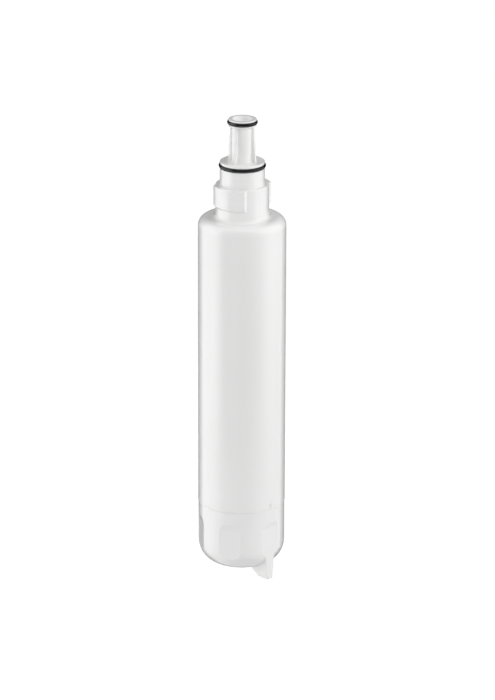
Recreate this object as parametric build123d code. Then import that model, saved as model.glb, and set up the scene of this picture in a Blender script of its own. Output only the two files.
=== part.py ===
from build123d import *
import math
import os

# Twist-in water filter cartridge, in millimetres.
# The origin is the centre of the neck ledge, the face that stops the cartridge in its head.
# +Z runs up the spigot and +X runs through the turning fin on the bottom cap.

# Body tube and shoulder
BODY_RADIUS = 27.0
BODY_WALL = 2.6
BODY_LENGTH = 185.1
SHOULDER_CORNER = 5.7
SHOULDER_LAND = 0.5
SHOULDER_WALL = 2.5

# Bayonet neck and its two lugs
NECK_RADIUS = 16.3
NECK_LENGTH = 20.6
NECK_WALL = 3.0
NECK_ROOT_FILLET = 2.2
LEDGE_WALL = 3.0
LEDGE_EDGE = 0.4
LUG_COUNT = 2
LUG_RISE = 1.6
LUG_HEIGHT = 12.2
LUG_RAMP = 1.9
LUG_SPAN = 94.0
LUG_START = -128.0
LUG_BEVEL = 1.7

# Collar with the inlet gland
COLLAR_RADIUS = 13.7
COLLAR_HEIGHT = 14.5
COLLAR_RIM = 1.45
COLLAR_RIM_EDGE = 0.45
COLLAR_WALL = 1.85
DECK_WALL = 3.0
INLET_GLAND_SLACK = 0.3
INLET_GLAND_DEPTH = 1.73
INLET_RING_SECTION = 2.4

# Inlet slot through the deck of the collar, behind the stem
SLOT_START = 120.0
SLOT_SPAN = 50.0
SLOT_EDGE = 0.4

# Stem, its gussets and the outlet gland
OUTLET_BORE_RADIUS = 4.6
STEM_WALL = 2.4
STEM_LENGTH = 22.25
STEM_FOOT_FILLET = 0.8
GUSSET_COUNT = 4
GUSSET_START = 17.0
GUSSET_THICKNESS = 1.6
GUSSET_TOP_REACH = 0.9
GUSSET_FOOT_REACH = 2.6
GUSSET_EDGE = 0.35
FLANGE_RADIUS = 8.5
FLANGE_THICKNESS = 0.9
FLANGE_EDGE = 0.15
FLANGE_CONE = 0.5
OUTLET_GLAND_SLACK = 0.2
OUTLET_GLAND_DEPTH = 1.78
OUTLET_RING_SECTION = 2.4
RIM_RADIUS = 8.65
RIM_THICKNESS = 0.75
RIM_EDGE = 0.3
LIP_WIDTH = 2.35
MOUTH_DEPTH = 3.0

# Socket inside the neck, for the spigot of the filter element
SOCKET_RADIUS = 5.2
SOCKET_WALL = 1.6
SOCKET_TOP = 6.0
SOCKET_DROP = 10.0

# Bottom cap, its grip flats and the weld to the body
CAP_HEIGHT = 40.5
CAP_STEP = 0.2
CAP_CORNER = 14.0
CAP_FLOOR = 3.0
CAP_INNER_CORNER = 11.0
WELD_BEVEL = 0.25
WELD_CLEARANCE = 0.1
TONGUE_HEIGHT = 5.0
TONGUE_WALL = 1.5
FLAT_COUNT = 6
FLAT_DEPTH = 0.92
FLAT_CREASE = 12.2
FLAT_RUN_OUT = 3.6
FLAT_STEP = 0.3
SEAT_RIB_COUNT = 6
SEAT_RIB_THICKNESS = 1.8
SEAT_RIB_HEIGHT = 7.4

# Turning fin under the bottom cap
FIN_DROP = 6.4
FIN_TIP_LENGTH = 8.5
FIN_RUN = 8.5
FIN_TIP_THICKNESS = 4.4
FIN_ROOT_THICKNESS = 5.6
FIN_EDGE = 0.5
FIN_FACE_EDGE = 0.4
FIN_ROOT_FILLET = 1.0

# Filter element: carbon block, wrap, two end caps and a seal
ELEMENT_CLEARANCE = 1.05
HEAD_SPACE = 4.7
END_CAP_WALL = 3.0
END_CAP_RIM_WALL = 1.2
END_CAP_RIM_HEIGHT = 6.0
END_CAP_STUB = 6.0
GLUE_GAP = 0.05
BLOCK_BORE_RADIUS = 6.0
WRAP_GAP = 0.05
SPIGOT_CLEARANCE = 0.15
SPIGOT_BORE_RADIUS = 2.6
SPIGOT_TIP_GAP = 2.0
SPIGOT_TIP_EDGE = 0.5
SEAL_HEIGHT = 1.4
SEAL_WIDTH = 2.1
SEAL_ROUND = 0.6
SEAL_GLAND_WIDTH = 2.4
SEAL_DROP = 5.0

# Rings lie this far from the faces that they seat on
RING_SEAT_GAP = 0.03

# Glands are wider than their rings by a slack
INLET_GLAND_WIDTH = INLET_RING_SECTION + INLET_GLAND_SLACK
OUTLET_GLAND_WIDTH = OUTLET_RING_SECTION + OUTLET_GLAND_SLACK

# Heights along the axis, from the sizes above
COLLAR_TOP = COLLAR_HEIGHT
FLANGE_BOTTOM = COLLAR_TOP + STEM_LENGTH
FLANGE_TOP = FLANGE_BOTTOM + FLANGE_THICKNESS
RIM_BOTTOM = FLANGE_TOP + OUTLET_GLAND_WIDTH
SPIGOT_TOP = RIM_BOTTOM + RIM_THICKNESS
INLET_GLAND_TOP = COLLAR_TOP - COLLAR_RIM
INLET_GLAND_BOTTOM = INLET_GLAND_TOP - INLET_GLAND_WIDTH
DECK_BOTTOM = COLLAR_TOP - DECK_WALL
SHOULDER_TOP = -NECK_LENGTH
SHOULDER_INSIDE = SHOULDER_TOP - SHOULDER_WALL
WELD_HEIGHT = SHOULDER_TOP - BODY_LENGTH
CAP_BOTTOM = WELD_HEIGHT - CAP_HEIGHT
CAP_INSIDE = CAP_BOTTOM + CAP_FLOOR
FIN_TIP = CAP_BOTTOM - FIN_DROP
ELEMENT_TOP = SHOULDER_INSIDE - HEAD_SPACE
BLOCK_TOP = ELEMENT_TOP - END_CAP_WALL
ELEMENT_BOTTOM = CAP_INSIDE + SEAT_RIB_HEIGHT
BLOCK_BOTTOM = ELEMENT_BOTTOM + END_CAP_WALL

# Radii, from the sizes above
BODY_BORE_RADIUS = BODY_RADIUS - BODY_WALL
SHOULDER_ROOM = BODY_RADIUS - NECK_RADIUS - NECK_ROOT_FILLET - SHOULDER_LAND
SHOULDER_ROUND = min(SHOULDER_CORNER, SHOULDER_ROOM)
NECK_BORE_RADIUS = NECK_RADIUS - NECK_WALL
LUG_RADIUS = NECK_RADIUS + LUG_RISE
INLET_GLAND_ROOT = COLLAR_RADIUS - INLET_GLAND_DEPTH
COLLAR_BORE_RADIUS = INLET_GLAND_ROOT - COLLAR_WALL
STEM_RADIUS = OUTLET_BORE_RADIUS + STEM_WALL
OUTLET_GLAND_ROOT = RIM_RADIUS - OUTLET_GLAND_DEPTH
MOUTH_RADIUS = RIM_RADIUS - LIP_WIDTH
SKIRT_RADIUS = SOCKET_RADIUS + SOCKET_WALL
SLOT_INNER_RADIUS = max(SKIRT_RADIUS, STEM_RADIUS + STEM_FOOT_FILLET) + SLOT_EDGE
SLOT_OUTER_RADIUS = COLLAR_BORE_RADIUS - SLOT_EDGE
TONGUE_RADIUS = BODY_BORE_RADIUS - WELD_CLEARANCE
CAP_BORE_RADIUS = TONGUE_RADIUS - TONGUE_WALL
CAP_RADIUS = BODY_RADIUS - CAP_STEP
FLAT_DISTANCE = CAP_RADIUS - FLAT_DEPTH
END_CAP_RADIUS = CAP_BORE_RADIUS - ELEMENT_CLEARANCE
BLOCK_RADIUS = END_CAP_RADIUS - END_CAP_RIM_WALL - GLUE_GAP
SPIGOT_RADIUS = SOCKET_RADIUS - SPIGOT_CLEARANCE
SEAL_GLAND_ROOT = SOCKET_RADIUS - SEAL_HEIGHT - 2 * RING_SEAT_GAP


def half_section(points, rounds=()):
    """Closed half-section of (radius, height) points, with some of its corners rounded."""
    outline = make_face(Polyline(*points, close=True))
    for corner, radius in rounds:
        vertex = min(outline.vertices(), key=lambda v: (Vector(v) - Vector(*corner)).length)
        outline = fillet([vertex], radius)
    return Plane.XZ * outline


def turned(points, rounds=(), arc=360.0):
    """Half-section turned about the axis."""
    return revolve(half_section(points, rounds), Axis.Z, revolution_arc=arc)


def around(count, start=0.0):
    """Angles of a pattern of equal steps about the axis."""
    return [start + 360.0 / count * step for step in range(count)]


def housing_outside():
    """Body, shoulder, neck, collar and spigot as one turned solid, with both glands."""
    rim_corner = (RIM_RADIUS, SPIGOT_TOP)
    stem_foot = (STEM_RADIUS, COLLAR_TOP)
    collar_corner = (COLLAR_RADIUS, COLLAR_TOP)
    ledge_corner = (NECK_RADIUS, 0)
    neck_root = (NECK_RADIUS, SHOULDER_TOP)
    shoulder_corner = (BODY_RADIUS, SHOULDER_TOP)
    points = [
        (0, SPIGOT_TOP),
        rim_corner,
        (RIM_RADIUS, RIM_BOTTOM),
        (OUTLET_GLAND_ROOT, RIM_BOTTOM),
        (OUTLET_GLAND_ROOT, FLANGE_TOP),
        (FLANGE_RADIUS, FLANGE_TOP),
        (FLANGE_RADIUS, FLANGE_BOTTOM + FLANGE_EDGE),
        (FLANGE_RADIUS - FLANGE_EDGE, FLANGE_BOTTOM),
        (STEM_RADIUS + FLANGE_EDGE, FLANGE_BOTTOM),
        (STEM_RADIUS, FLANGE_BOTTOM - FLANGE_CONE),
        stem_foot,
        collar_corner,
        (COLLAR_RADIUS, INLET_GLAND_TOP),
        (INLET_GLAND_ROOT, INLET_GLAND_TOP),
        (INLET_GLAND_ROOT, INLET_GLAND_BOTTOM),
        (COLLAR_RADIUS, INLET_GLAND_BOTTOM),
        (COLLAR_RADIUS, 0),
        ledge_corner,
        neck_root,
        shoulder_corner,
        (BODY_RADIUS, WELD_HEIGHT + WELD_BEVEL),
        (BODY_RADIUS - WELD_BEVEL, WELD_HEIGHT),
        (0, WELD_HEIGHT),
    ]
    rounds = [
        (rim_corner, RIM_EDGE),
        (stem_foot, STEM_FOOT_FILLET),
        (collar_corner, COLLAR_RIM_EDGE),
        (ledge_corner, LEDGE_EDGE),
        (neck_root, NECK_ROOT_FILLET),
        (shoulder_corner, SHOULDER_ROUND),
    ]
    return turned(points, rounds)


def polar(radius, angle):
    """Point at a radius and an angle about the axis."""
    return (radius * math.cos(math.radians(angle)), radius * math.sin(math.radians(angle)))


def bayonet_lug(start):
    """One raised lug on the neck, with bevelled ends and a ramp at its lower edge."""
    end = start + LUG_SPAN
    bevel = math.degrees(LUG_BEVEL / LUG_RADIUS)
    inside = NECK_RADIUS - NECK_WALL / 2
    outer = CenterArc((0, 0), LUG_RADIUS, start + bevel, LUG_SPAN - 2 * bevel)
    inner = CenterArc((0, 0), inside, start, LUG_SPAN)
    first = Polyline(polar(inside, start), polar(NECK_RADIUS, start), outer @ 0)
    last = Polyline(polar(inside, end), polar(NECK_RADIUS, end), outer @ 1)
    plan = make_face([outer, inner, first, last])
    lug = extrude(plan, -LUG_HEIGHT - LUG_RAMP)
    top_arcs = lug.faces().sort_by(Axis.Z)[-1].edges().filter_by(GeomType.CIRCLE)
    lug = fillet(top_arcs.sort_by(SortBy.RADIUS)[-1], LEDGE_EDGE)
    foot = -LUG_HEIGHT - LUG_RAMP
    beyond = NECK_RADIUS + 2 * LUG_RISE
    ramp = turned([(NECK_RADIUS, foot), (beyond, LUG_RAMP - LUG_HEIGHT), (beyond, foot)])
    return lug - ramp


def gusset(angle):
    """One tapered fin that braces the stem on the deck of the collar."""
    root = (OUTLET_BORE_RADIUS + STEM_RADIUS) / 2
    web = make_face(Polyline(
        (root, COLLAR_TOP),
        (STEM_RADIUS + GUSSET_FOOT_REACH, COLLAR_TOP),
        (STEM_RADIUS + GUSSET_TOP_REACH, FLANGE_BOTTOM),
        (root, FLANGE_BOTTOM),
        close=True,
    ))
    plate = extrude(Plane.XZ * web, GUSSET_THICKNESS / 2, both=True)
    outer = plate.edges().filter_by(Plane.XZ).group_by(SortBy.LENGTH)[-1]
    free = [edge for edge in outer if edge.center().X > STEM_RADIUS]
    return Rot(Z=angle) * fillet(free, GUSSET_EDGE)


def housing_inside():
    """Hollow of the body, neck and collar, around the socket skirt."""
    shoulder_inner_corner = (BODY_BORE_RADIUS, SHOULDER_INSIDE)
    points = [
        (SKIRT_RADIUS, DECK_BOTTOM),
        (COLLAR_BORE_RADIUS, DECK_BOTTOM),
        (COLLAR_BORE_RADIUS, -LEDGE_WALL),
        (NECK_BORE_RADIUS, -LEDGE_WALL),
        (NECK_BORE_RADIUS, SHOULDER_INSIDE),
        shoulder_inner_corner,
        (BODY_BORE_RADIUS, WELD_HEIGHT),
        (0, WELD_HEIGHT),
        (0, -SOCKET_DROP),
        (SKIRT_RADIUS, -SOCKET_DROP),
    ]
    return turned(points, [(shoulder_inner_corner, SHOULDER_ROUND - BODY_WALL)])


def outlet_way():
    """Socket, outlet bore and countersunk mouth, from the skirt to the top."""
    return turned([
        (0, -SOCKET_DROP),
        (SOCKET_RADIUS, -SOCKET_DROP),
        (SOCKET_RADIUS, SOCKET_TOP),
        (OUTLET_BORE_RADIUS, SOCKET_TOP),
        (OUTLET_BORE_RADIUS, SPIGOT_TOP - MOUTH_DEPTH),
        (MOUTH_RADIUS, SPIGOT_TOP),
        (0, SPIGOT_TOP),
    ])


def inlet_slot():
    """Kidney slot through the deck, into the space around the socket skirt."""
    points = [
        (SLOT_INNER_RADIUS, DECK_BOTTOM),
        (SLOT_OUTER_RADIUS, DECK_BOTTOM),
        (SLOT_OUTER_RADIUS, COLLAR_TOP),
        (SLOT_INNER_RADIUS, COLLAR_TOP),
    ]
    return Rot(Z=SLOT_START) * turned(points, arc=SLOT_SPAN)


def make_housing():
    """The one-piece moulding that holds the filter element."""
    shell = housing_outside()
    for start in around(LUG_COUNT, LUG_START):
        shell += bayonet_lug(start)
    for angle in around(GUSSET_COUNT, GUSSET_START):
        shell += gusset(angle)
    return shell - housing_inside() - outlet_way() - inlet_slot()


def grip_flat(angle):
    """Stock cut away for one grip flat, with its top running out to a small step under the round."""
    crease = WELD_HEIGHT - FLAT_CREASE
    step = crease + FLAT_RUN_OUT
    beyond = 2 * CAP_RADIUS
    side = make_face(Polyline(
        (FLAT_DISTANCE, FIN_TIP),
        (FLAT_DISTANCE, crease),
        (CAP_RADIUS - FLAT_STEP, step),
        (beyond, step),
        (beyond, FIN_TIP),
        close=True,
    ))
    return Rot(Z=angle) * extrude(Plane.XZ * side, BODY_RADIUS, both=True)


def turning_fin():
    """Drafted fin with a slanted inner edge. It stands out past the flat that trims it."""
    rise = CAP_FLOOR / 2
    reach = CAP_RADIUS + 2 * FIN_ROOT_FILLET
    top = CAP_BOTTOM + CAP_CORNER + 2 * FIN_ROOT_FILLET
    tip_start = FLAT_DISTANCE - FIN_TIP_LENGTH
    side = make_face(Polyline(
        (reach, FIN_TIP),
        (tip_start, FIN_TIP),
        (tip_start - FIN_RUN, CAP_BOTTOM),
        (tip_start - FIN_RUN, CAP_BOTTOM + rise),
        (FLAT_DISTANCE - rise, top),
        (reach, top),
        close=True,
    ))
    height = top - FIN_TIP
    tip_half = FIN_TIP_THICKNESS / 2
    top_half = tip_half + (FIN_ROOT_THICKNESS - FIN_TIP_THICKNESS) / 2 * height / FIN_DROP
    front = make_face(Polyline(
        (-tip_half, FIN_TIP),
        (tip_half, FIN_TIP),
        (top_half, FIN_TIP + height),
        (-top_half, FIN_TIP + height),
        close=True,
    ))
    plate = extrude(Plane.XZ * side, BODY_RADIUS, both=True)
    fin = plate & extrude(Plane.YZ * front, 2 * BODY_RADIUS)
    lower = [edge for edge in fin.edges() if edge.center().Z < CAP_BOTTOM - FIN_DROP / 4]
    free = [edge for edge in lower if edge.center().X < reach - FIN_EDGE / 2]
    return fillet(free, FIN_EDGE)


def make_bottom_cap():
    """Welded cap: a cup with grip flats, a turning fin and ribs that carry the element."""
    lower_corner = (CAP_RADIUS, CAP_BOTTOM)
    cap = turned([
        (0, CAP_BOTTOM),
        lower_corner,
        (CAP_RADIUS, WELD_HEIGHT - WELD_BEVEL),
        (CAP_RADIUS - WELD_BEVEL, WELD_HEIGHT),
        (TONGUE_RADIUS, WELD_HEIGHT),
        (TONGUE_RADIUS, WELD_HEIGHT + TONGUE_HEIGHT),
        (0, WELD_HEIGHT + TONGUE_HEIGHT),
    ], [(lower_corner, CAP_CORNER)])
    fin = turning_fin()
    meeting = new_edges(cap, fin, combined=cap + fin)
    cap = fillet([edge for edge in meeting if edge.center().X < FLAT_DISTANCE], FIN_ROOT_FILLET)
    for angle in around(FLAT_COUNT):
        cap -= grip_flat(angle)
    fin_face = [edge for edge in cap.edges() if edge.center().Z < CAP_BOTTOM - FIN_ROOT_FILLET]
    outer = [edge for edge in fin_face if abs(edge.center().X - FLAT_DISTANCE) < FIN_FACE_EDGE / 10]
    cap = fillet(outer, FIN_FACE_EDGE)
    inner_corner = (CAP_BORE_RADIUS, CAP_INSIDE)
    hollow = turned([
        (0, CAP_INSIDE),
        inner_corner,
        (CAP_BORE_RADIUS, WELD_HEIGHT + TONGUE_HEIGHT),
        (0, WELD_HEIGHT + TONGUE_HEIGHT),
    ], [(inner_corner, CAP_INNER_CORNER)])
    cap -= hollow
    middle = (CAP_INSIDE + ELEMENT_BOTTOM) / 2
    bar = Pos(Z=middle) * Box(2 * BODY_RADIUS, SEAT_RIB_THICKNESS, SEAT_RIB_HEIGHT)
    for angle in around(SEAT_RIB_COUNT)[:SEAT_RIB_COUNT // 2]:
        cap += (Rot(Z=angle) * bar) & hollow
    return cap


def o_ring(root, height, section):
    """Round-section ring that sits on a gland root."""
    middle = root + RING_SEAT_GAP + section / 2
    return Pos(Z=height) * Torus(middle, section / 2)


def end_cap_cup(top, bottom, mouth):
    """Plain cup of an end cap: a disc with a rim towards the block, given by heights."""
    return turned([
        (0, top),
        (END_CAP_RADIUS, top),
        (END_CAP_RADIUS, mouth),
        (BLOCK_RADIUS + GLUE_GAP, mouth),
        (BLOCK_RADIUS + GLUE_GAP, bottom),
        (0, bottom),
    ])


def centring_stub(face, end):
    """Short plug of an end cap that centres the bore of the block."""
    radius = BLOCK_BORE_RADIUS - GLUE_GAP
    return turned([(0, face), (radius, face), (radius, end), (0, end)])


def make_top_end_cap():
    """End cap with the spigot that plugs into the socket of the housing."""
    tip = SOCKET_TOP - SPIGOT_TIP_GAP
    seal_middle = -SEAL_DROP
    gland_top = seal_middle + SEAL_GLAND_WIDTH / 2
    gland_bottom = seal_middle - SEAL_GLAND_WIDTH / 2
    cap = end_cap_cup(ELEMENT_TOP, BLOCK_TOP, BLOCK_TOP - END_CAP_RIM_HEIGHT)
    cap += centring_stub(BLOCK_TOP, BLOCK_TOP - END_CAP_STUB)
    cap += turned([
        (0, tip),
        (SPIGOT_RADIUS - SPIGOT_TIP_EDGE, tip),
        (SPIGOT_RADIUS, tip - SPIGOT_TIP_EDGE),
        (SPIGOT_RADIUS, gland_top),
        (SEAL_GLAND_ROOT, gland_top),
        (SEAL_GLAND_ROOT, gland_bottom),
        (SPIGOT_RADIUS, gland_bottom),
        (SPIGOT_RADIUS, -SOCKET_DROP),
        (SKIRT_RADIUS, -SOCKET_DROP),
        (SKIRT_RADIUS, ELEMENT_TOP),
        (0, ELEMENT_TOP),
    ])
    low = BLOCK_TOP - END_CAP_STUB
    bore = [(0, low), (SPIGOT_BORE_RADIUS, low), (SPIGOT_BORE_RADIUS, tip), (0, tip)]
    return cap - turned(bore)


def make_bottom_end_cap():
    """Closed end cap that stands on the ribs of the bottom cap."""
    cap = end_cap_cup(ELEMENT_BOTTOM, BLOCK_BOTTOM, BLOCK_BOTTOM + END_CAP_RIM_HEIGHT)
    return cap + centring_stub(BLOCK_BOTTOM, BLOCK_BOTTOM + END_CAP_STUB)


def make_end_cap_seal():
    """Ring squeezed between the spigot of the end cap and the socket."""
    inner = SEAL_GLAND_ROOT + RING_SEAT_GAP
    outer = SOCKET_RADIUS - RING_SEAT_GAP
    low = -SEAL_DROP - SEAL_WIDTH / 2
    high = -SEAL_DROP + SEAL_WIDTH / 2
    corners = [(inner, low), (outer, low), (outer, high), (inner, high)]
    return turned(corners, [(corner, SEAL_ROUND) for corner in corners])


def tube(inner, outer, low, high):
    """Plain tube about the axis."""
    return turned([(inner, low), (outer, low), (outer, high), (inner, high)])


def make_prefilter_wrap():
    """Non-woven sleeve on the block, flush with the rims of the end caps."""
    inner = BLOCK_RADIUS + WRAP_GAP
    low = BLOCK_BOTTOM + END_CAP_RIM_HEIGHT
    high = BLOCK_TOP - END_CAP_RIM_HEIGHT
    return tube(inner, END_CAP_RADIUS, low, high)


outlet_ring_height = (FLANGE_TOP + RIM_BOTTOM) / 2
inlet_ring_height = (INLET_GLAND_TOP + INLET_GLAND_BOTTOM) / 2
nodes = {
    "housing": make_housing(),
    "bottom_cap": make_bottom_cap(),
    "outlet_o_ring": o_ring(OUTLET_GLAND_ROOT, outlet_ring_height, OUTLET_RING_SECTION),
    "inlet_o_ring": o_ring(INLET_GLAND_ROOT, inlet_ring_height, INLET_RING_SECTION),
    "top_end_cap": make_top_end_cap(),
    "end_cap_seal": make_end_cap_seal(),
    "carbon_block": tube(BLOCK_BORE_RADIUS, BLOCK_RADIUS, BLOCK_BOTTOM, BLOCK_TOP),
    "prefilter_wrap": make_prefilter_wrap(),
    "bottom_end_cap": make_bottom_end_cap(),
}

os.makedirs("parts", exist_ok=True)
for name, shape in nodes.items():
    export_step(shape, f"parts/{name}.step")
    print(name, round(shape.volume), "mm3")
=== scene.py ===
# %% [markdown]
# A twist-in water filter cartridge. The solids come from CAD at their real size: a white moulded housing, a
# welded cap, black O-rings and the filter element inside. This lesson keeps those solids as they are and
# gives them their looks: plastic, rubber, carbon and fibre finishes, one small moulded mark, and the light
# of a white studio.

# %% Load the solids
import math

import bpy
from mathutils import Matrix, Vector


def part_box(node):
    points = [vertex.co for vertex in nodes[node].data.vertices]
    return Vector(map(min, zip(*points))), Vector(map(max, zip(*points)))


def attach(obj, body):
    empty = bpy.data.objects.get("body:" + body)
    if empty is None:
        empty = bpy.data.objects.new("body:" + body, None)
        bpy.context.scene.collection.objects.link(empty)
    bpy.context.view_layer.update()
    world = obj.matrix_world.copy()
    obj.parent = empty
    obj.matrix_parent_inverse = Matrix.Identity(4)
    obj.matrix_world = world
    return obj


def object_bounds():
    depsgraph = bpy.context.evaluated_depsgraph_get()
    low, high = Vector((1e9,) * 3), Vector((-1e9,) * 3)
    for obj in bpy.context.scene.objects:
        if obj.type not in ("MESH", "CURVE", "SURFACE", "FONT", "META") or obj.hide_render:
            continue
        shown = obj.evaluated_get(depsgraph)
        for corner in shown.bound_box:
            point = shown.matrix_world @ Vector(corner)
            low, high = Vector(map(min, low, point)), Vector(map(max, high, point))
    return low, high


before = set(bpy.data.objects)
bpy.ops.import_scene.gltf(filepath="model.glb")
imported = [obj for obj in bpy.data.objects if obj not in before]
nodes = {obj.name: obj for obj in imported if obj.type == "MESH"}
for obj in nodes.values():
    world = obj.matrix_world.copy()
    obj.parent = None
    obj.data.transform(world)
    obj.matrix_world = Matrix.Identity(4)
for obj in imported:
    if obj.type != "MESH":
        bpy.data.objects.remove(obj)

cad_low, cad_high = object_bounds()
print("solids:", sorted(nodes))
print("box of the solids:", tuple(cad_low), tuple(cad_high))

# %% [markdown]
# The picture is a catalogue view of the upright cartridge, with the turning fin at the lower right. The
# camera is placed by a bearing round the cartridge, an angle above it and a distance. It could be placed by
# its three coordinates, but a bearing and an angle are easier to read, and the lamps can use the same
# directions later.

# %% Where the camera stands
VIEW_AZIMUTH = math.radians(46.0)
VIEW_ELEVATION = math.radians(19.4)
VIEW_DISTANCE = 2.4
VIEW_HEIGHT = -0.10745
AIM_RIGHT = 0.0035

towards_camera = Vector((math.sin(VIEW_AZIMUTH), -math.cos(VIEW_AZIMUTH), 0.0))
image_right = Vector((math.cos(VIEW_AZIMUTH), math.sin(VIEW_AZIMUTH), 0.0))
back = towards_camera * math.cos(VIEW_ELEVATION) + Vector((0.0, 0.0, math.sin(VIEW_ELEVATION)))
middle = Vector((0.0, 0.0, VIEW_HEIGHT))
place = middle + back * VIEW_DISTANCE
aim = middle + image_right * AIM_RIGHT
print("camera at", tuple(round(v, 3) for v in place))

# %% [markdown]
# The lens is long. A short lens close by could frame the cartridge as well, but its sides would then draw
# together, and from far away they stay almost parallel. The cartridge stands a little left of the middle.
# The lens could be shifted for that, but here the camera is only turned, which looks the same at this
# distance.

# %% Camera
IMAGE_HEIGHT = 700
FOCAL_PIXELS = 3885.6
FILM_HEIGHT = 36.0
ROLL = math.radians(0.18)

camera_data = bpy.data.cameras.new("catalogue_camera")
camera_data.sensor_fit = "VERTICAL"
camera_data.sensor_height = FILM_HEIGHT
camera_data.sensor_width = FILM_HEIGHT
camera_data.lens = FOCAL_PIXELS * FILM_HEIGHT / IMAGE_HEIGHT
camera = bpy.data.objects.new("catalogue_camera", camera_data)
bpy.context.scene.collection.objects.link(camera)
turn = (aim - place).to_track_quat("-Z", "Y").to_matrix() @ Matrix.Rotation(ROLL, 3, "Z")
camera.matrix_world = Matrix.Translation(place) @ turn.to_4x4()
bpy.context.scene.camera = camera
print("lens", round(camera_data.lens, 1), "mm")

# %% [markdown]
# Every finish below is a small tree of nodes. The trees could be wired line by line, but they are all wired
# the same way, so one helper makes a node and fills its sockets. A value that is another node's output is
# linked, and a plain number or colour is set on the socket itself. A socket is named, or numbered where its
# name is not its own.

# %% Node helpers
def add_node(tree, kind, settings=None, **sockets):
    """Add a node, set its options, and fill its inputs with values or links."""
    made = tree.nodes.new(kind)
    for name, value in (settings or {}).items():
        setattr(made, name, value)
    for name, value in sockets.items():
        number = name[1:]
        socket = made.inputs[int(number) if number.isdigit() else name.replace("_", " ")]
        if isinstance(value, bpy.types.NodeSocket):
            tree.links.new(value, socket)
        else:
            socket.default_value = value
    return made


def new_material(name):
    """Empty node material, and its tree."""
    material = bpy.data.materials.new(name)
    material.use_nodes = True
    material.node_tree.nodes.clear()
    return material, material.node_tree


def grey(level):
    """Neutral colour."""
    return (level, level, level, 1.0)


print("node helpers:", add_node.__name__, new_material.__name__, grey.__name__)

# %% [markdown]
# The studio round the cartridge is white. One white sky could be both background and light, but a sky that
# is bright enough for a white background washes out the form, so the two are set apart. The Light Path node
# tells the kinds of ray apart: what is looked at, straight on or by way of a mirror or glass, is plain
# white at strength 1, and what lights the surfaces is a softer grey.

# %% World
SKY_LIGHT = 0.35


def looked_at(tree):
    """Output that is 1 for camera, mirror and glass rays, and 0 for rays that carry light."""
    path = add_node(tree, "ShaderNodeLightPath")
    seen = add_node(tree, "ShaderNodeMath", {"operation": "MAXIMUM"}, _0=path.outputs["Is Camera Ray"],
                    _1=path.outputs["Is Glossy Ray"])
    shown = add_node(tree, "ShaderNodeMath", {"operation": "MAXIMUM"}, _0=seen.outputs[0],
                     _1=path.outputs["Is Transmission Ray"])
    return shown.outputs[0]


world = bpy.data.worlds.new("white_studio")
world.use_nodes = True
sky = world.node_tree
sky.nodes.clear()
lit = add_node(sky, "ShaderNodeBackground", Color=grey(1.0), Strength=SKY_LIGHT)
white = add_node(sky, "ShaderNodeBackground", Color=grey(1.0), Strength=1.0)
either = add_node(sky, "ShaderNodeMixShader", _0=looked_at(sky), _1=lit.outputs[0], _2=white.outputs[0])
add_node(sky, "ShaderNodeOutputWorld", Surface=either.outputs[0])
bpy.context.scene.world = world
bpy.context.scene.view_settings.view_transform = "Standard"
print("sky light", SKY_LIGHT)

# %% [markdown]
# In use the cartridge hangs from its neck, so it stands on nothing here, and a pale floor lies some way
# under the fin. A plain white floor could be lit until it is white, but the light would spill onto the
# cartridge. So most of what the camera sees of the floor is a white glow, and the rest is real diffuse
# light, which takes a soft shadow.

# %% Floor
FLOOR_DROP = 0.36
FLOOR_HALF = 4.0
FLOOR_GREY = 0.65
FLOOR_GLOW = 0.92
FLOOR_WHITE = 1.08

floor_material, tree = new_material("pale_floor")
glow_share = add_node(tree, "ShaderNodeMath", {"operation": "MULTIPLY"}, _0=looked_at(tree), _1=FLOOR_GLOW)
matt = add_node(tree, "ShaderNodeBsdfDiffuse", Color=grey(FLOOR_GREY))
glow = add_node(tree, "ShaderNodeEmission", Color=grey(1.0), Strength=FLOOR_WHITE)
floor_mix = add_node(tree, "ShaderNodeMixShader", _0=glow_share.outputs[0], _1=matt.outputs[0],
                     _2=glow.outputs[0])
add_node(tree, "ShaderNodeOutputMaterial", Surface=floor_mix.outputs[0])

floor_height = cad_low.z - FLOOR_DROP
corners = [(x * FLOOR_HALF, y * FLOOR_HALF, floor_height) for x, y in [(-1, -1), (1, -1), (1, 1), (-1, 1)]]
floor_mesh = bpy.data.meshes.new("floor")
floor_mesh.from_pydata(corners, [], [(0, 1, 2, 3)])
floor_mesh.materials.append(floor_material)
floor = bpy.data.objects.new("floor", floor_mesh)
bpy.context.scene.collection.objects.link(floor)
print("floor at", round(floor_height, 3))

# %% [markdown]
# Large softboxes light the form: one at each side, a weak one in front, four high up and one behind. One
# big lamp could light it too, but the soft bands down the white body come from light at several bearings.
# Each lamp is placed by a bearing from the camera's side and turned to the middle of the cartridge. It is
# hidden from the camera and from reflections, so it shapes the form and leaves no lamp in the gloss.

# %% Softboxes
TALL_LAMP = {"distance": 1.0, "height": -0.12, "width": 0.3, "tall": 0.8}
HIGH_LAMP = {"distance": 0.9, "height": 0.6, "width": 0.5, "tall": 0.5}
REAR_LAMP = {"distance": 1.5, "height": -0.12, "width": 0.8, "tall": 0.8}


def round_the_object(bearing, distance, height):
    """Point at a bearing from the camera's side, in degrees, positive to the image's right."""
    angle = math.radians(bearing)
    flat = towards_camera * math.cos(angle) + image_right * math.sin(angle)
    return flat * distance + Vector((0.0, 0.0, height))


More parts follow.
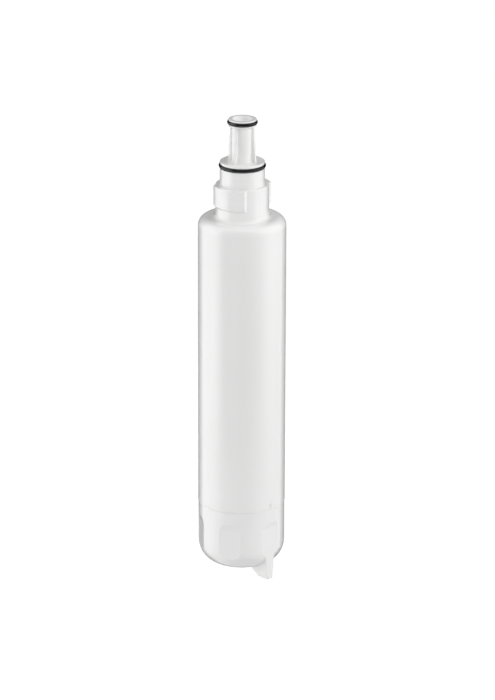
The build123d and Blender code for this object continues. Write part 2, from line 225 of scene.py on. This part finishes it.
def softbox(name, bearing, power, distance, height, width, tall):
    """Rectangular lamp that faces the middle of the cartridge."""
    lamp = bpy.data.lights.new(name, "AREA")
    lamp.shape = "RECTANGLE"
    lamp.size = width
    lamp.size_y = tall
    lamp.energy = power
    box = bpy.data.objects.new(name, lamp)
    box.location = round_the_object(bearing, distance, height)
    box.rotation_mode = "QUATERNION"
    box.rotation_quaternion = (middle - box.location).to_track_quat("-Z", "Y")
    box.visible_camera = False
    box.visible_glossy = False
    bpy.context.scene.collection.objects.link(box)


softbox("left_softbox", bearing=-80.0, power=4.1, **TALL_LAMP)
softbox("right_softbox", bearing=80.0, power=2.8, **TALL_LAMP)
softbox("front_fill", bearing=-20.0, power=1.2, **TALL_LAMP)
softbox("high_front", bearing=0.0, power=2.8, **HIGH_LAMP)
softbox("high_right", bearing=60.0, power=3.7, **HIGH_LAMP)
softbox("high_rear_left", bearing=-120.0, power=2.2, **HIGH_LAMP)
softbox("high_rear_right", bearing=120.0, power=2.4, **HIGH_LAMP)
softbox("rear_fill", bearing=180.0, power=4.0, **REAR_LAMP)

# %% [markdown]
# White on white needs dark edges, or the outline is lost. Photographers put up strips of card for this, and
# so does this cell. A bright strip at the left and a greyer one at the right are mirrored in bands down the
# sides, a black card behind is mirrored only at the rim, where plastic mirrors most, and a nearly black
# card in front keeps the rubber black. The edges could be painted into the finish, but they would then turn
# with the part. The cards are seen only in reflections, so they change the gloss and nothing else.

# %% Mirror cards
CARD_STEPS = 24
CARD_LIFT = 0.005
card_foot = floor_height + CARD_LIFT
SIDE_STRIP = {"distance": 0.28, "low": -0.5, "high": 0.3}
REAR_CARD = {"distance": 0.3, "low": card_foot, "high": 0.5}
FRONT_CARD = {"distance": 1.2, "low": card_foot, "high": 1.6}


def card_mesh(name, first, last, distance, low, high):
    """Upright curved strip round the object, between two bearings."""
    verts = []
    faces = []
    for step in range(CARD_STEPS + 1):
        bearing = first + (last - first) * step / CARD_STEPS
        verts.append(round_the_object(bearing, distance, low))
        verts.append(round_the_object(bearing, distance, high))
    for base in range(0, 2 * CARD_STEPS, 2):
        faces.append((base, base + 2, base + 3, base + 1))
    mesh = bpy.data.meshes.new(name)
    mesh.from_pydata(verts, [], faces)
    return mesh


def mirror_card(name, first, last, level, **size):
    """Card of one grey level that only reflections see."""
    mesh = card_mesh(name, first, last, **size)
    material, tree = new_material(name)
    paint = add_node(tree, "ShaderNodeEmission", Color=grey(level), Strength=1.0)
    add_node(tree, "ShaderNodeOutputMaterial", Surface=paint.outputs[0])
    mesh.materials.append(material)
    card = bpy.data.objects.new(name, mesh)
    for kind in ("camera", "diffuse", "transmission", "volume_scatter", "shadow"):
        setattr(card, "visible_" + kind, False)
    bpy.context.scene.collection.objects.link(card)
    return card


cards = [
    mirror_card("left_strip", first=-122.0, last=-62.0, level=1.3, **SIDE_STRIP),
    mirror_card("right_strip", first=55.0, last=116.0, level=0.65, **SIDE_STRIP),
    mirror_card("rear_card", first=125.0, last=234.0, level=0.0, **REAR_CARD),
    mirror_card("front_card", first=-55.0, last=55.0, level=0.01, **FRONT_CARD),
]
print("cards:", [card.name for card in cards])

# %% [markdown]
# The housing and the cap are injection-moulded white polypropylene. Close to, such a surface has a fine
# sparked grain, a slightly uneven gloss where the melt flowed, and a faint glow because light goes a little
# way in. A flat colour would look like paint, so three noises at three sizes carry those traits: clouds of
# colour some centimetres wide, gloss patches of a millimetre or two, and grain of a fifth of a millimetre.
# A clear coat stands for the smoother skin that the mould leaves on top. The housing and the cap share one
# gloss, so that the weld between them stays faint.

# %% Moulded plastic
FLOW_CLOUDS = 22.0
GLOSS_PATCHES = 420.0
MOULD_GRAIN = 4800.0
GRAIN_HEIGHT = 0.00003
GRAIN_STRENGTH = 0.25
SMOOTHER = 0.04
ROUGHER = 0.05
NOISE_LOW = 0.3
NOISE_HIGH = 0.7
SKIN_WEIGHT = 0.4
SKIN_ROUGHNESS = 0.15
PLASTIC_IOR = 1.55
GLOW_SHARE = 0.03
GLOW_REACH = 0.001
GLOW_TINT = (1.0, 0.95, 0.85)


def moulded_plastic(name, dark, pale, roughness):
    """Satin moulded plastic with flow clouds, uneven gloss and fine grain."""
    material, tree = new_material(name)
    where = add_node(tree, "ShaderNodeTexCoord").outputs["Object"]
    clouds = add_node(tree, "ShaderNodeTexNoise", Vector=where, Scale=FLOW_CLOUDS, Detail=3.0, Roughness=0.5)
    colour = add_node(tree, "ShaderNodeMix", {"data_type": "RGBA"}, Factor=clouds.outputs["Fac"],
                      _6=dark, _7=pale)
    patches = add_node(tree, "ShaderNodeTexNoise", Vector=where, Scale=GLOSS_PATCHES, Detail=2.0,
                       Roughness=0.55)
    rough = add_node(tree, "ShaderNodeMapRange", Value=patches.outputs["Fac"], From_Min=NOISE_LOW,
                     From_Max=NOISE_HIGH, To_Min=roughness - SMOOTHER, To_Max=roughness + ROUGHER)
    grain = add_node(tree, "ShaderNodeTexNoise", Vector=where, Scale=MOULD_GRAIN, Detail=2.0, Roughness=0.6)
    bump = add_node(tree, "ShaderNodeBump", Strength=GRAIN_STRENGTH, Distance=GRAIN_HEIGHT,
                    Height=grain.outputs["Fac"])
    shader = add_node(tree, "ShaderNodeBsdfPrincipled", Base_Color=colour.outputs[2],
                      Roughness=rough.outputs["Result"], Normal=bump.outputs["Normal"], IOR=PLASTIC_IOR,
                      Coat_Weight=SKIN_WEIGHT, Coat_Roughness=SKIN_ROUGHNESS, Subsurface_Weight=GLOW_SHARE,
                      Subsurface_Scale=GLOW_REACH, Subsurface_Radius=GLOW_TINT)
    add_node(tree, "ShaderNodeOutputMaterial", Surface=shader.outputs[0])
    return material


print("moulded plastic: clouds, patches and grain at", FLOW_CLOUDS, GLOSS_PATCHES, MOULD_GRAIN, "per metre")

# %% [markdown]
# Three plastics come from that one recipe: the white of the housing, the white of the cap, which is moulded
# apart and is never quite the same, and the unpigmented, milky plastic of the end caps inside. Each could
# have a tree of its own, but they differ only in their two colours and their gloss.

# %% White and natural plastic
WHITE_ROUGHNESS = 0.21
NATURAL_ROUGHNESS = 0.42

white_housing = moulded_plastic("white_polypropylene", (0.835, 0.835, 0.83, 1.0), (0.875, 0.875, 0.872, 1.0),
                                WHITE_ROUGHNESS)
white_cap = moulded_plastic("white_polypropylene_cap", (0.83, 0.83, 0.826, 1.0), (0.87, 0.87, 0.868, 1.0),
                            WHITE_ROUGHNESS)
natural_plastic = moulded_plastic("natural_polypropylene", (0.72, 0.72, 0.68, 1.0), (0.79, 0.79, 0.75, 1.0),
                                  NATURAL_ROUGHNESS)
print("plastics:", white_housing.name, white_cap.name, natural_plastic.name)

# %% [markdown]
# The O-rings are black nitrile rubber with a film of grease. One black with one gloss could do from afar,
# but moulded rubber is never quite black, and grease lies unevenly. So one noise drives both colour and
# gloss, which makes the shine patchy from one millimetre to the next, and a finer noise breaks it up with
# tiny specks.

# %% Greased rubber
GREASE_PATCHES = 260.0
RUBBER_SPECKS = 3600.0
SPECK_HEIGHT = 0.00001
SPECK_STRENGTH = 0.12
RUBBER_IOR = 1.52
RUBBER_BLACK = (0.003, 0.003, 0.0033, 1.0)
RUBBER_GREY = (0.01, 0.01, 0.0106, 1.0)
GREASED_ROUGHNESS = 0.11
WIPED_ROUGHNESS = 0.22


def greased_rubber(name):
    """Black rubber with a patchy greased gloss and tiny specks."""
    material, tree = new_material(name)
    where = add_node(tree, "ShaderNodeTexCoord").outputs["Object"]
    patches = add_node(tree, "ShaderNodeTexNoise", Vector=where, Scale=GREASE_PATCHES, Detail=4.0,
                       Roughness=0.6)
    tone = add_node(tree, "ShaderNodeMix", {"data_type": "RGBA"}, Factor=patches.outputs["Fac"],
                    _6=RUBBER_BLACK, _7=RUBBER_GREY)
    rough = add_node(tree, "ShaderNodeMapRange", Value=patches.outputs["Fac"], From_Min=NOISE_LOW,
                     From_Max=NOISE_HIGH, To_Min=GREASED_ROUGHNESS, To_Max=WIPED_ROUGHNESS)
    specks = add_node(tree, "ShaderNodeTexNoise", Vector=where, Scale=RUBBER_SPECKS, Detail=2.0)
    bump = add_node(tree, "ShaderNodeBump", Strength=SPECK_STRENGTH, Distance=SPECK_HEIGHT,
                    Height=specks.outputs["Fac"])
    shader = add_node(tree, "ShaderNodeBsdfPrincipled", Base_Color=tone.outputs[2],
                      Roughness=rough.outputs["Result"], Normal=bump.outputs["Normal"], IOR=RUBBER_IOR)
    add_node(tree, "ShaderNodeOutputMaterial", Surface=shader.outputs[0])
    return material


black_rubber = greased_rubber("black_rubber")
print("rubber:", black_rubber.name)

# %% [markdown]
# The filter block inside is activated carbon, pressed from dry black grains. It doesn't show in the
# picture, but the part can be opened or cut in a scene, so it gets its own finish. Noise could roughen it,
# but it has no grains. The Voronoi texture splits space into cells of about the right size, and its
# distance gives each grain a paler edge.

# %% Pressed carbon
CARBON_GRAINS = 1900.0
CARBON_GRAIN_HEIGHT = 0.0001
CARBON_GRAIN_STRENGTH = 0.6
CARBON_ROUGHNESS = 0.85
CARBON_BLACK = (0.009, 0.009, 0.0095, 1.0)
CARBON_GREY = (0.035, 0.035, 0.036, 1.0)


def pressed_carbon(name):
    """Dry, granular black carbon."""
    material, tree = new_material(name)
    where = add_node(tree, "ShaderNodeTexCoord").outputs["Object"]
    grains = add_node(tree, "ShaderNodeTexVoronoi", Vector=where, Scale=CARBON_GRAINS)
    tone = add_node(tree, "ShaderNodeMix", {"data_type": "RGBA"}, Factor=grains.outputs["Distance"],
                    _6=CARBON_BLACK, _7=CARBON_GREY)
    bump = add_node(tree, "ShaderNodeBump", Strength=CARBON_GRAIN_STRENGTH, Distance=CARBON_GRAIN_HEIGHT,
                    Height=grains.outputs["Distance"])
    shader = add_node(tree, "ShaderNodeBsdfPrincipled", Base_Color=tone.outputs[2],
                      Roughness=CARBON_ROUGHNESS, Normal=bump.outputs["Normal"])
    add_node(tree, "ShaderNodeOutputMaterial", Surface=shader.outputs[0])
    return material


bonded_carbon = pressed_carbon("bonded_carbon")
print("block:", bonded_carbon.name)

# %% [markdown]
# Round the block lies a sleeve of white non-woven fibre, which holds back coarse dirt. It could be built of
# real strands, but that would be heavy for a piece that is seldom seen. A distorted noise pulls the pattern
# into fibre-like streaks, and a little sheen gives the soft edge of a fabric.

# %% Fibre mat
MAT_FIBRES = 900.0
FIBRE_HEIGHT = 0.0002
FIBRE_STRENGTH = 0.6
MAT_ROUGHNESS = 0.95
MAT_SHEEN = 0.3
FIBRE_SHADE = (0.7, 0.7, 0.68, 1.0)
FIBRE_WHITE = (0.86, 0.86, 0.845, 1.0)


def fibre_mat(name):
    """White non-woven mat with stray fibres."""
    material, tree = new_material(name)
    where = add_node(tree, "ShaderNodeTexCoord").outputs["Object"]
    fibres = add_node(tree, "ShaderNodeTexNoise", Vector=where, Scale=MAT_FIBRES, Detail=6.0, Roughness=0.7,
                      Distortion=1.6)
    tone = add_node(tree, "ShaderNodeMix", {"data_type": "RGBA"}, Factor=fibres.outputs["Fac"],
                    _6=FIBRE_SHADE, _7=FIBRE_WHITE)
    bump = add_node(tree, "ShaderNodeBump", Strength=FIBRE_STRENGTH, Distance=FIBRE_HEIGHT,
                    Height=fibres.outputs["Fac"])
    shader = add_node(tree, "ShaderNodeBsdfPrincipled", Base_Color=tone.outputs[2], Roughness=MAT_ROUGHNESS,
                      Normal=bump.outputs["Normal"], Sheen_Weight=MAT_SHEEN)
    add_node(tree, "ShaderNodeOutputMaterial", Surface=shader.outputs[0])
    return material


non_woven_wrap = fibre_mat("non_woven_wrap")
print("wrap:", non_woven_wrap.name)

# %% [markdown]
# Each solid now takes its finish. A finish can be given face by face, but every solid here is made of one
# material, so one finish for each is enough. The solids come with their smooth shading and keep it.

# %% Dress the solids
finishes = {
    "housing": white_housing,
    "bottom_cap": white_cap,
    "outlet_o_ring": black_rubber,
    "inlet_o_ring": black_rubber,
    "top_end_cap": natural_plastic,
    "end_cap_seal": black_rubber,
    "carbon_block": bonded_carbon,
    "prefilter_wrap": non_woven_wrap,
    "bottom_end_cap": natural_plastic,
}
for name, finish in finishes.items():
    solid = nodes[name]
    solid.data.materials.clear()
    solid.data.materials.append(finish)
    print(name, len(solid.data.polygons), "faces:", finish.name)

# %% [markdown]
# A small mark stands just above the weld, over the turning fin. On such housings a mark is often cut into
# the mould to show how far to turn. Here it is a plain arrow that points at the fin. It could be cut into
# the housing, but the solids stay as they are, so it is a thin plate on a grid of points, bent to the round
# of the body. The solid's small flat faces lie a hair inside that round, so the plate shows without
# standing out of it.

# %% Arrow grid
ARROW_WIDTH = 0.0034
ARROW_HEIGHT = 0.0039
ARROW_GAP = 0.0002
ARROW_DEPTH = 0.0002
ARROW_ROWS = 6
ARROW_COLUMNS = 8
TIP_SHARE = 0.04
ARROW_TURN = math.radians(-2.0)

body_low, body_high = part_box("housing")
body_radius = body_high.x
weld_height = body_low.z


def arrow_point(row, column, radius):
    """Point of the arrow's grid, which narrows from its top row down to the tip."""
    down = row / ARROW_ROWS
    half_width = ARROW_WIDTH / 2 * (1.0 - down * (1.0 - TIP_SHARE))
    bearing = ARROW_TURN + half_width * (2.0 * column / ARROW_COLUMNS - 1.0) / radius
    height = weld_height + ARROW_GAP + ARROW_HEIGHT * (1.0 - down)
    return (radius * math.cos(bearing), radius * math.sin(bearing), height)


print("arrow tip at", tuple(round(v, 4) for v in arrow_point(ARROW_ROWS, ARROW_COLUMNS // 2, body_radius)))

# %% [markdown]
# The plate is two such grids, one on the body's round and one a little deeper, joined by a rim. A single
# sheet could show the mark as well, but a closed plate has an inside and an outside, so it holds up in
# other programs too. Its plastic is duller than the housing's, and its colour is darker as painted shade:
# the plate lies flush with the body, so the shade that a shallow moulded mark catches is painted into it.

# %% Arrow mark
ARROW_ROUGHNESS = 0.4


def arrow_faces():
    """Faces of the two layers of the grid and of the rim between them."""
    wide = ARROW_COLUMNS + 1
    layer = wide * (ARROW_ROWS + 1)
    faces = []
    for row in range(ARROW_ROWS):
        for column in range(ARROW_COLUMNS):
            corner = row * wide + column
            outer = (corner, corner + wide, corner + wide + 1, corner + 1)
            faces.append(outer)
            faces.append(tuple(layer + index for index in reversed(outer)))
    top = list(range(wide))
    bottom = [ARROW_ROWS * wide + column for column in range(wide)]
    first = [row * wide for row in range(ARROW_ROWS + 1)]
    last = [row * wide + ARROW_COLUMNS for row in range(ARROW_ROWS + 1)]
    for rim in (top, last, bottom[::-1], first[::-1]):
        for here, after in zip(rim, rim[1:]):
            faces.append((here, after, layer + after, layer + here))
    return faces


def arrow_mark(name, finish):
    """Thin closed plate on the round of the body."""
    points = []
    for radius in (body_radius, body_radius - ARROW_DEPTH):
        for row in range(ARROW_ROWS + 1):
            points += [arrow_point(row, column, radius) for column in range(ARROW_COLUMNS + 1)]
    mesh = bpy.data.meshes.new(name)
    mesh.from_pydata(points, [], arrow_faces())
    mesh.materials.append(finish)
    mark = bpy.data.objects.new(name, mesh)
    bpy.context.scene.collection.objects.link(mark)
    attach(mark, "root")
    return mark


# The darker colour of the mark is painted shade of a shallow moulded mark, not a different plastic.
mark_shaded_plastic = moulded_plastic("mark_shaded_polypropylene", (0.68, 0.68, 0.675, 1.0), (0.73, 0.73, 0.725, 1.0),
                               ARROW_ROUGHNESS)
arrow = arrow_mark("arrow_mark", mark_shaded_plastic)
print("arrow mark:", len(arrow.data.polygons), "faces")
